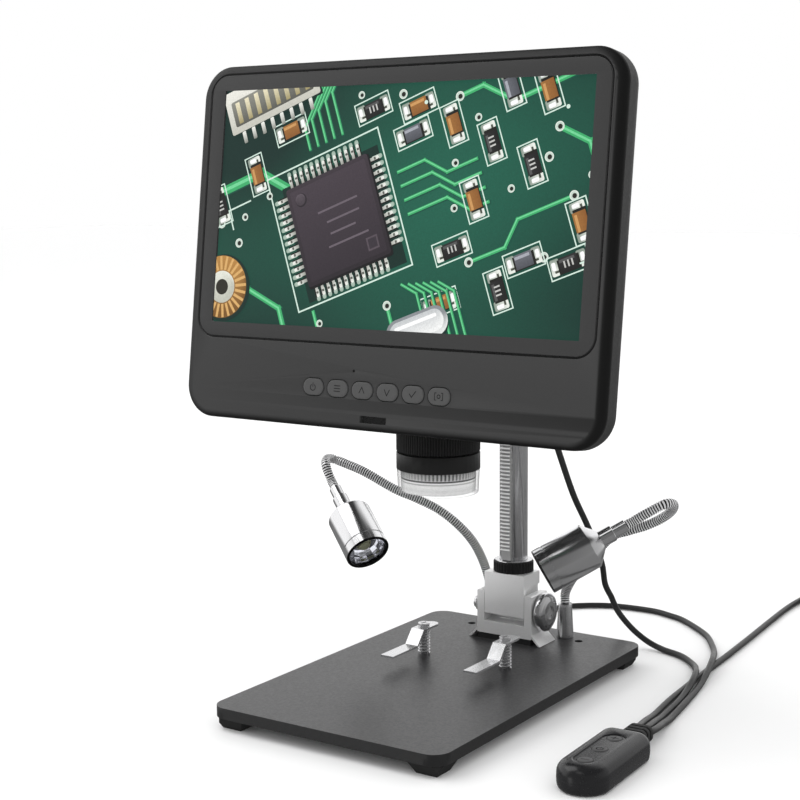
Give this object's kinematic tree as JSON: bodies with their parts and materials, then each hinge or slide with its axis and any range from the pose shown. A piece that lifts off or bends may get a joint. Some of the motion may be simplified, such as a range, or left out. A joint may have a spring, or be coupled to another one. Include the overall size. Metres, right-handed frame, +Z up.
{
  "type": "digital microscope with a screen",
  "caption": "Desktop digital microscope: a screen and camera head on a rack column over a plate with clips, lamps on goosenecks and a remote on the lead.",
  "frame": {"origin": "on the table, under the lens and the middle of the base plate", "axes": "+Z up, the screen faces -Y, +X to the viewer's right"},
  "size_m": [0.2497, 0.3804, 0.2906],
  "materials": {
    "plate_black": "satin black powder coat with a fine grain",
    "rubber": "matte black rubber",
    "steel": "nickel-plated steel, satin",
    "chrome": "polished chrome",
    "nickel": "bright nickel",
    "aluminium": "satin machined aluminium",
    "remote_black": "fine matte black",
    "soft_black": "soft matte black",
    "lead_grey": "satin black cord sheath",
    "ring_black": "satin black, ridged grip",
    "housing_front": "fine matte charcoal",
    "housing_back": "fine matte black",
    "cover_glass": "clear, dark border behind it",
    "panel_black": "display panel in a dark frame",
    "board_green": "solder-masked board",
    "carriage_grey": "satin black die casting",
    "barrel_black": "semi-gloss black",
    "lens_glass": "coated lens glass",
    "led_white": "white board with small lights",
    "clear_plastic": "clear acrylic",
    "key_grey": "fine matte charcoal",
    "lamp_lens": "frosted clear plastic"
  },
  "bodies": {
    "base": {"base_plate": "plate_black", "rubber_feet": "rubber", "tilt_bracket": "steel", "bracket_screws": "steel", "pivot_bolt": "steel", "neck_sockets": "chrome", "clip_screws": "steel", "remote_bottom": "remote_black", "remote_top": "remote_black", "remote_gland": "soft_black", "lamp_lead": "lead_grey", "monitor_lead_lower": "lead_grey", "power_lead": "lead_grey", "power_coil": "lead_grey", "usb_plug": "soft_black", "usb_shell": "nickel"},
    "column": {"saddle": "steel", "column": "chrome", "rack": "steel", "collar": "ring_black", "column_cap": "ring_black", "monitor_lead_upper": "lead_grey"},
    "lock_knob": {"tilt_knob": "aluminium"},
    "head": {"front_shell": "housing_front", "rear_shell": "housing_back", "camera_pod": "housing_back", "screen_glass": "cover_glass", "lcd_panel": "panel_black", "main_board": "board_green", "shell_screws": "steel", "carriage": "carriage_grey", "carriage_screws": "steel", "lens_barrel": "barrel_black", "lens_elements": "lens_glass", "sensor_board": "board_green", "led_ring": "led_white", "skirt": "clear_plastic", "dc_plug": "soft_black"},
    "height_drive": {"pinion_shaft": "steel", "focus_knobs": "ring_black"},
    "focus": {"focus_ring": "ring_black"},
    "key_power": {"button_power": "key_grey"},
    "key_menu": {"button_menu": "key_grey"},
    "key_up": {"button_up": "key_grey"},
    "key_down": {"button_down": "key_grey"},
    "key_ok": {"button_ok": "key_grey"},
    "key_capture": {"button_capture": "key_grey"},
    "left_clip_post": {"left_clip_spring": "steel"},
    "left_clip_arm": {"left_clip": "steel"},
    "left_arm": {"left_neck": "chrome"},
    "left_light": {"left_lamp": "aluminium", "left_lamp_lens": "lamp_lens"},
    "right_clip_post": {"right_clip_spring": "steel"},
    "right_clip_arm": {"right_clip": "steel"},
    "right_arm": {"right_neck": "chrome"},
    "right_light": {"right_lamp": "aluminium", "right_lamp_lens": "lamp_lens"},
    "remote_key_brighter": {"remote_brighter": "soft_black"},
    "remote_key_power": {"remote_power": "soft_black"},
    "remote_key_dimmer": {"remote_dimmer": "soft_black"}
  },
  "joints": [
    {"name": "column_tilt", "type": "hinge", "parent": "base", "child": "column", "pos_m": [0, 0.0695, 0.026], "axis": [1, 0, 0], "range_deg": [-15, 10], "deforming": ["monitor_lead_lower", "monitor_lead_upper"]},
    {"name": "tilt_knob_turn", "type": "hinge", "parent": "base", "child": "lock_knob", "pos_m": [0.0184, 0.0695, 0.026], "axis": [1, 0, 0], "range_deg": [0, 180]},
    {"name": "head_slide", "type": "slide", "parent": "column", "child": "head", "axis": [0, 0, 1], "range_m": [-0.055, 0.065], "deforming": ["monitor_lead_upper", "monitor_lead_lower"]},
    {"name": "pinion_spin", "type": "hinge", "parent": "head", "child": "height_drive", "pos_m": [0, 0.0557, 0.1615], "axis": [1, 0, 0], "range_deg": [-700, 600]},
    {"name": "focus_turn", "type": "hinge", "parent": "head", "child": "focus", "pos_m": [0, 0, 0.1209], "axis": [0, 0, 1], "range_deg": [-150, 150]},
    {"name": "button_power_press", "type": "slide", "parent": "head", "child": "key_power", "axis": [0, 0.9916, -0.1297], "range_m": [0, 0.0008], "stiffness_N_per_m": 1500, "springref_m": -0.0005},
    {"name": "button_menu_press", "type": "slide", "parent": "head", "child": "key_menu", "axis": [0, 0.9916, -0.1297], "range_m": [0, 0.0008], "stiffness_N_per_m": 1500, "springref_m": -0.0005},
    {"name": "button_up_press", "type": "slide", "parent": "head", "child": "key_up", "axis": [0, 0.9916, -0.1297], "range_m": [0, 0.0008], "stiffness_N_per_m": 1500, "springref_m": -0.0005},
    {"name": "button_down_press", "type": "slide", "parent": "head", "child": "key_down", "axis": [0, 0.9916, -0.1297], "range_m": [0, 0.0008], "stiffness_N_per_m": 1500, "springref_m": -0.0005},
    {"name": "button_ok_press", "type": "slide", "parent": "head", "child": "key_ok", "axis": [0, 0.9916, -0.1297], "range_m": [0, 0.0008], "stiffness_N_per_m": 1500, "springref_m": -0.0005},
    {"name": "button_capture_press", "type": "slide", "parent": "head", "child": "key_capture", "axis": [0, 0.9916, -0.1297], "range_m": [0, 0.0008], "stiffness_N_per_m": 1500, "springref_m": -0.0005},
    {"name": "left_clip_swivel", "type": "hinge", "parent": "base", "child": "left_clip_post", "pos_m": [-0.0227, 0.022, 0.02], "axis": [0, 0, 1], "range_deg": [-120, 30]},
    {"name": "left_clip_press", "type": "slide", "parent": "left_clip_post", "child": "left_clip_arm", "axis": [0, 0, 1], "range_m": [-0.0055, 0], "stiffness_N_per_m": 300, "springref_m": 0.003, "deforming": ["left_clip_spring"]},
    {"name": "right_clip_swivel", "type": "hinge", "parent": "base", "child": "right_clip_post", "pos_m": [0.0227, 0.022, 0.02], "axis": [0, 0, 1], "range_deg": [-30, 120]},
    {"name": "right_clip_press", "type": "slide", "parent": "right_clip_post", "child": "right_clip_arm", "axis": [0, 0, 1], "range_m": [-0.0055, 0], "stiffness_N_per_m": 300, "springref_m": 0.003, "deforming": ["right_clip_spring"]},
    {"name": "left_arm_swing", "type": "hinge", "parent": "base", "child": "left_arm", "pos_m": [-0.022, 0.083, 0.0281], "axis": [0, 0, 1], "range_deg": [-40, 8]},
    {"name": "left_lamp_tilt", "type": "hinge", "parent": "left_arm", "child": "left_light", "pos_m": [-0.0825, 0.0329, 0.0838], "axis": [-0.4726, -0.8813, 0], "range_deg": [-20, 20], "deforming": ["left_neck"]},
    {"name": "right_arm_swing", "type": "hinge", "parent": "base", "child": "right_arm", "pos_m": [0.022, 0.083, 0.0281], "axis": [0, 0, 1], "range_deg": [-3, 20]},
    {"name": "right_lamp_tilt", "type": "hinge", "parent": "right_arm", "child": "right_light", "pos_m": [0.0684, 0.0538, 0.0782], "axis": [-0.6177, 0.7864, 0], "range_deg": [-20, 20], "deforming": ["right_neck"]},
    {"name": "remote_brighter_press", "type": "slide", "parent": "base", "child": "remote_key_brighter", "axis": [0, 0, -1], "range_m": [0, 0.0006], "stiffness_N_per_m": 1200, "springref_m": -0.0005},
    {"name": "remote_power_press", "type": "slide", "parent": "base", "child": "remote_key_power", "axis": [0, 0, -1], "range_m": [0, 0.0006], "stiffness_N_per_m": 1200, "springref_m": -0.0005},
    {"name": "remote_dimmer_press", "type": "slide", "parent": "base", "child": "remote_key_dimmer", "axis": [0, 0, -1], "range_m": [0, 0.0006], "stiffness_N_per_m": 1200, "springref_m": -0.0005}
  ],
  "couplings": [
    {"joint": "pinion_spin", "follows": "head_slide", "rad_per_m": -185.19}
  ]
}
